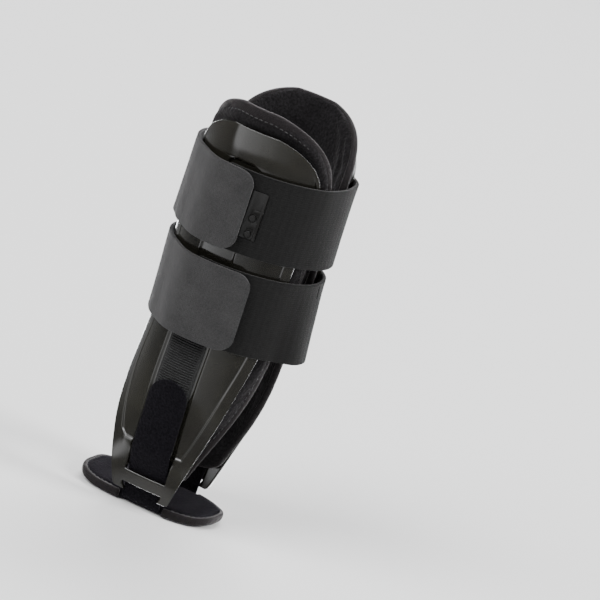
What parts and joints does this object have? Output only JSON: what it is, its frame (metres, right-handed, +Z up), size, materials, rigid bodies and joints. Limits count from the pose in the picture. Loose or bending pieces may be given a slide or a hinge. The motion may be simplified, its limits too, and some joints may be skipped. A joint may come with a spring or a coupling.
{
  "type": "ankle foot orthosis",
  "caption": "Stirrup ankle brace: rigid side shells with padded liners, linked under a heel pad by a stirrup strap and held round the leg by wide hook-and-loop straps.",
  "frame": {"origin": "middle of the heel pad's underside, on the floor", "axes": "+X towards the toes, -Y to the lateral (outer) side, +Y to the medial side, +Z up the leg"},
  "size_m": [0.1088, 0.1145, 0.265],
  "materials": {
    "shell": "moulded smoky black, polished, slightly see-through",
    "hook": "woven hook tape with cross ribs",
    "liner": "brushed loop fabric",
    "foam": "open-cell foam",
    "binding": "woven elastic edge tape, stitched",
    "strap": "matte napped loop webbing, charcoal",
    "heel_strap": "deep-pile loop tape, black",
    "heel_pad": "brushed loop fabric, black",
    "clip": "moulded black, satin",
    "rivet": "moulded black"
  },
  "bodies": {
    "heel_base": {"heel_pad_sole": "heel_pad", "heel_pad_foam": "foam", "heel_pad_top": "heel_pad", "heel_pad_front_binding": "binding", "heel_pad_rear_binding": "binding", "heel_strap_sole": "heel_strap"},
    "lateral_riser": {"lateral_heel_strap_riser": "heel_strap"},
    "lateral_side": {"lateral_shell": "shell", "lateral_hook_strip": "hook", "lateral_liner_back": "liner", "lateral_liner_foam": "foam", "lateral_liner_face": "liner", "lateral_liner_binding": "binding", "lateral_liner_hook_1": "hook", "lateral_liner_hook_2": "hook", "lateral_liner_hook_3": "hook", "lateral_heel_strap_throat": "heel_strap", "upper_strap_start": "strap", "upper_strap_clip": "clip", "upper_clip_rivet_1": "rivet", "upper_clip_rivet_2": "rivet", "lower_strap_start": "strap", "lower_strap_clip": "clip", "lower_clip_rivet_1": "rivet", "lower_clip_rivet_2": "rivet"},
    "lateral_heel_tab": {"lateral_heel_strap_tab": "heel_strap"},
    "medial_riser": {"medial_heel_strap_riser": "heel_strap"},
    "medial_side": {"medial_shell": "shell", "medial_hook_strip": "hook", "medial_liner_back": "liner", "medial_liner_foam": "foam", "medial_liner_face": "liner", "medial_liner_binding": "binding", "medial_liner_hook_1": "hook", "medial_liner_hook_2": "hook", "medial_liner_hook_3": "hook", "medial_heel_strap_throat": "heel_strap", "medial_upper_strap_patch": "hook", "medial_lower_strap_patch": "hook"},
    "medial_heel_tab": {"medial_heel_strap_tab": "heel_strap"},
    "upper_front": {"upper_strap_front": "strap"},
    "upper_medial": {"upper_strap_medial": "strap"},
    "upper_rear": {"upper_strap_rear": "strap"},
    "upper_root": {"upper_strap_root": "strap"},
    "upper_tab": {"upper_strap_tab": "strap", "upper_strap_tab_hook": "hook"},
    "lower_front": {"lower_strap_front": "strap"},
    "lower_medial": {"lower_strap_medial": "strap"},
    "lower_rear": {"lower_strap_rear": "strap"},
    "lower_root": {"lower_strap_root": "strap"},
    "lower_tab": {"lower_strap_tab": "strap", "lower_strap_tab_hook": "hook"}
  },
  "joints": [
    {"name": "side_opening", "type": "hinge", "parent": "heel_base", "child": "lateral_riser", "pos_m": [0, -0.03, 0.003], "axis": [1, 0, 0], "range_deg": [0, 12]},
    {"name": "medial_side_opening", "type": "hinge", "parent": "heel_base", "child": "medial_riser", "pos_m": [0, 0.03, 0.003], "axis": [-1, 0, 0], "range_deg": [0, 12]},
    {"name": "ankle_rock", "type": "hinge", "parent": "lateral_riser", "child": "lateral_side", "pos_m": [0, -0.032, 0.0169], "axis": [0, 1, 0], "range_deg": [-10, 10]},
    {"name": "medial_ankle_rock", "type": "hinge", "parent": "medial_riser", "child": "medial_side", "pos_m": [0, 0.032, 0.0169], "axis": [0, 1, 0], "range_deg": [-10, 10]},
    {"name": "lateral_heel_tab_peel", "type": "hinge", "parent": "lateral_side", "child": "lateral_heel_tab", "pos_m": [0, -0.04035, 0.0347], "axis": [1, 0, 0], "range_deg": [0, 95]},
    {"name": "medial_heel_tab_peel", "type": "hinge", "parent": "medial_side", "child": "medial_heel_tab", "pos_m": [0, 0.04035, 0.0347], "axis": [-1, 0, 0], "range_deg": [0, 95]},
    {"name": "upper_strap_front_unroll", "type": "hinge", "parent": "lateral_side", "child": "upper_front", "pos_m": [0.04369, -0.02881, 0.2035], "axis": [0, 0, -1], "range_deg": [0, 80]},
    {"name": "upper_strap_medial_unroll", "type": "hinge", "parent": "upper_front", "child": "upper_medial", "pos_m": [0.04394, 0.02843, 0.2035], "axis": [0, 0, -1], "range_deg": [0, 90]},
    {"name": "upper_strap_rear_unroll", "type": "hinge", "parent": "upper_medial", "child": "upper_rear", "pos_m": [-0.03931, 0.02803, 0.2035], "axis": [0, 0, -1], "range_deg": [0, 92]},
    {"name": "upper_strap_root_unroll", "type": "hinge", "parent": "upper_rear", "child": "upper_root", "pos_m": [-0.03931, -0.02803, 0.2035], "axis": [0, 0, -1], "range_deg": [0, 100]},
    {"name": "upper_strap_peel", "type": "hinge", "parent": "upper_root", "child": "upper_tab", "pos_m": [-0.02151, -0.05, 0.2035], "axis": [0, 0, -1], "range_deg": [0, 80]},
    {"name": "lower_strap_front_unroll", "type": "hinge", "parent": "lateral_side", "child": "lower_front", "pos_m": [0.04347, -0.02684, 0.1425], "axis": [0, 0, -1], "range_deg": [0, 80]},
    {"name": "lower_strap_medial_unroll", "type": "hinge", "parent": "lower_front", "child": "lower_medial", "pos_m": [0.04372, 0.02648, 0.1425], "axis": [0, 0, -1], "range_deg": [0, 88]},
    {"name": "lower_strap_rear_unroll", "type": "hinge", "parent": "lower_medial", "child": "lower_rear", "pos_m": [-0.03713, 0.02612, 0.1425], "axis": [0, 0, -1], "range_deg": [0, 92]},
    {"name": "lower_strap_root_unroll", "type": "hinge", "parent": "lower_rear", "child": "lower_root", "pos_m": [-0.03713, -0.02612, 0.1425], "axis": [0, 0, -1], "range_deg": [0, 100]},
    {"name": "lower_strap_peel", "type": "hinge", "parent": "lower_root", "child": "lower_tab", "pos_m": [-0.02039, -0.04674, 0.1425], "axis": [0, 0, -1], "range_deg": [0, 80]}
  ],
  "couplings": [
    {"joint": "medial_side_opening", "follows": "side_opening", "ratio": 1},
    {"joint": "medial_ankle_rock", "follows": "ankle_rock", "ratio": 1},
    {"joint": "upper_strap_front_unroll", "follows": "side_opening", "ratio": 6.6667},
    {"joint": "upper_strap_medial_unroll", "follows": "side_opening", "ratio": 7.5},
    {"joint": "upper_strap_rear_unroll", "follows": "side_opening", "ratio": 7.6667},
    {"joint": "upper_strap_root_unroll", "follows": "side_opening", "ratio": 8.3333},
    {"joint": "lower_strap_front_unroll", "follows": "side_opening", "ratio": 6.6667},
    {"joint": "lower_strap_medial_unroll", "follows": "side_opening", "ratio": 7.3333},
    {"joint": "lower_strap_rear_unroll", "follows": "side_opening", "ratio": 7.6667},
    {"joint": "lower_strap_root_unroll", "follows": "side_opening", "ratio": 8.3333}
  ]
}
